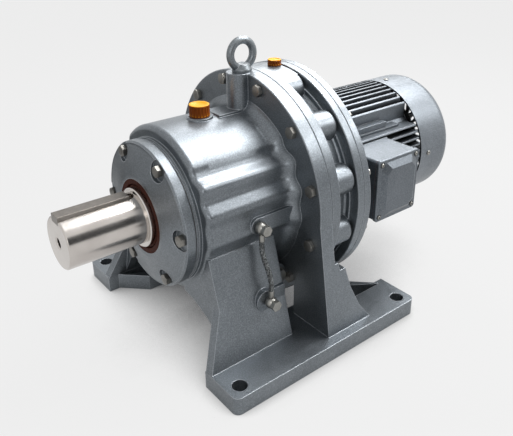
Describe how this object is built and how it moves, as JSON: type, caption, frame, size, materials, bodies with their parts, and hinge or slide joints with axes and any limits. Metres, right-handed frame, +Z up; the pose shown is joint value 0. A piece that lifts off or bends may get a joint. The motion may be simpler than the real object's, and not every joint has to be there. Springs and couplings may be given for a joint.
{
  "type": "geared motor",
  "caption": "Foot-mounted cycloidal geared motor with a fluted cast housing, keyed output shaft, finned motor, terminal box, oil gauge and lifting eye.",
  "frame": {"origin": "centre of the four foot holes, on the underside of the base", "axes": "+X along the output shaft, out of the gear housing; +Z up; +Y towards the terminal box and the oil gauge"},
  "size_m": [0.833, 0.53, 0.528],
  "materials": {
    "painted_casting": "blue-grey enamel over cast iron, satin",
    "painted_motor": "blue-grey enamel over aluminium, satin",
    "painted_cowl": "light blue-grey enamel over sheet steel, satin",
    "turned_steel": "ground and oiled",
    "key_steel": "drawn bright steel",
    "bearing_steel": "ground and hardened",
    "dark_bolts": "blackened",
    "pale_screws": "zinc plated",
    "painted_eye": "blue-grey enamel over forged steel",
    "orange_plastic": "moulded, semi-gloss",
    "brown_rubber": "moulded, matt",
    "gasket_paper": "pressed fibre",
    "core_steel": "laminated",
    "copper_winding": "varnished copper wire",
    "black_plastic": "moulded, matt",
    "gauge_glass": "clear"
  },
  "bodies": {
    "housing": {"adaptor_flange": "painted_casting", "adaptor_screws": "dark_bolts", "cable_entry_plug": "black_plastic", "cover_bolts": "dark_bolts", "cover_gasket": "gasket_paper", "cowl_screws": "pale_screws", "drain_plug": "pale_screws", "fan_cowl": "painted_cowl", "filler_plug": "orange_plastic", "flange_bolts": "dark_bolts", "front_bearing_outer_ring": "bearing_steel", "front_cover": "painted_casting", "gauge_lower_banjo": "pale_screws", "gauge_lower_bolt": "pale_screws", "gauge_tube": "gauge_glass", "gauge_upper_banjo": "pale_screws", "gauge_upper_bolt": "pale_screws", "gear_housing": "painted_casting", "input_oil_seal": "brown_rubber", "lifting_eyebolt": "painted_eye", "motor_flange": "painted_casting", "motor_frame": "painted_motor", "motor_front_bearing_outer_ring": "bearing_steel", "motor_rear_bearing_outer_ring": "bearing_steel", "motor_screws": "pale_screws", "output_oil_seal": "brown_rubber", "rear_bearing_outer_ring": "bearing_steel", "rear_end_shield": "painted_motor", "ring_gear_housing": "painted_casting", "ring_housing_plug": "orange_plastic", "ring_pin_rollers": "bearing_steel", "ring_pins": "bearing_steel", "stator_core": "core_steel", "stator_windings": "copper_winding", "terminal_block": "black_plastic", "terminal_box": "painted_motor", "terminal_box_gasket": "brown_rubber", "terminal_box_lid": "painted_motor", "terminal_lid_screws": "pale_screws"},
    "output": {"output_shaft": "turned_steel", "output_key": "key_steel", "output_pins": "bearing_steel", "output_pin_rollers": "bearing_steel", "front_bearing_inner_ring": "bearing_steel", "front_bearing_rollers": "bearing_steel", "rear_bearing_inner_ring": "bearing_steel", "rear_bearing_rollers": "bearing_steel", "shaft_spacer": "bearing_steel"},
    "input": {"motor_shaft": "turned_steel", "rotor_core": "core_steel", "eccentric_cam": "bearing_steel", "eccentric_rollers": "bearing_steel", "motor_front_bearing_inner_ring": "bearing_steel", "motor_rear_bearing_inner_ring": "bearing_steel", "motor_bearing_balls": "bearing_steel", "cooling_fan": "black_plastic"},
    "disc_front": {"cycloid_disc_front": "bearing_steel"},
    "disc_rear": {"cycloid_disc_rear": "bearing_steel"}
  },
  "joints": [
    {"name": "output_spin", "type": "hinge", "parent": "housing", "child": "output", "pos_m": [0, 0, 0.25], "axis": [1, 0, 0], "continuous": true},
    {"name": "input_spin", "type": "hinge", "parent": "housing", "child": "input", "pos_m": [0, 0, 0.25], "axis": [1, 0, 0], "continuous": true},
    {"name": "disc_front_spin", "type": "hinge", "parent": "input", "child": "disc_front", "pos_m": [-0.05, 0, 0.257], "axis": [1, 0, 0], "continuous": true},
    {"name": "disc_rear_spin", "type": "hinge", "parent": "input", "child": "disc_rear", "pos_m": [-0.071, 0, 0.243], "axis": [1, 0, 0], "continuous": true}
  ],
  "couplings": [
    {"joint": "input_spin", "follows": "output_spin", "ratio": -11},
    {"joint": "disc_front_spin", "follows": "output_spin", "ratio": 12},
    {"joint": "disc_rear_spin", "follows": "output_spin", "ratio": 12}
  ]
}
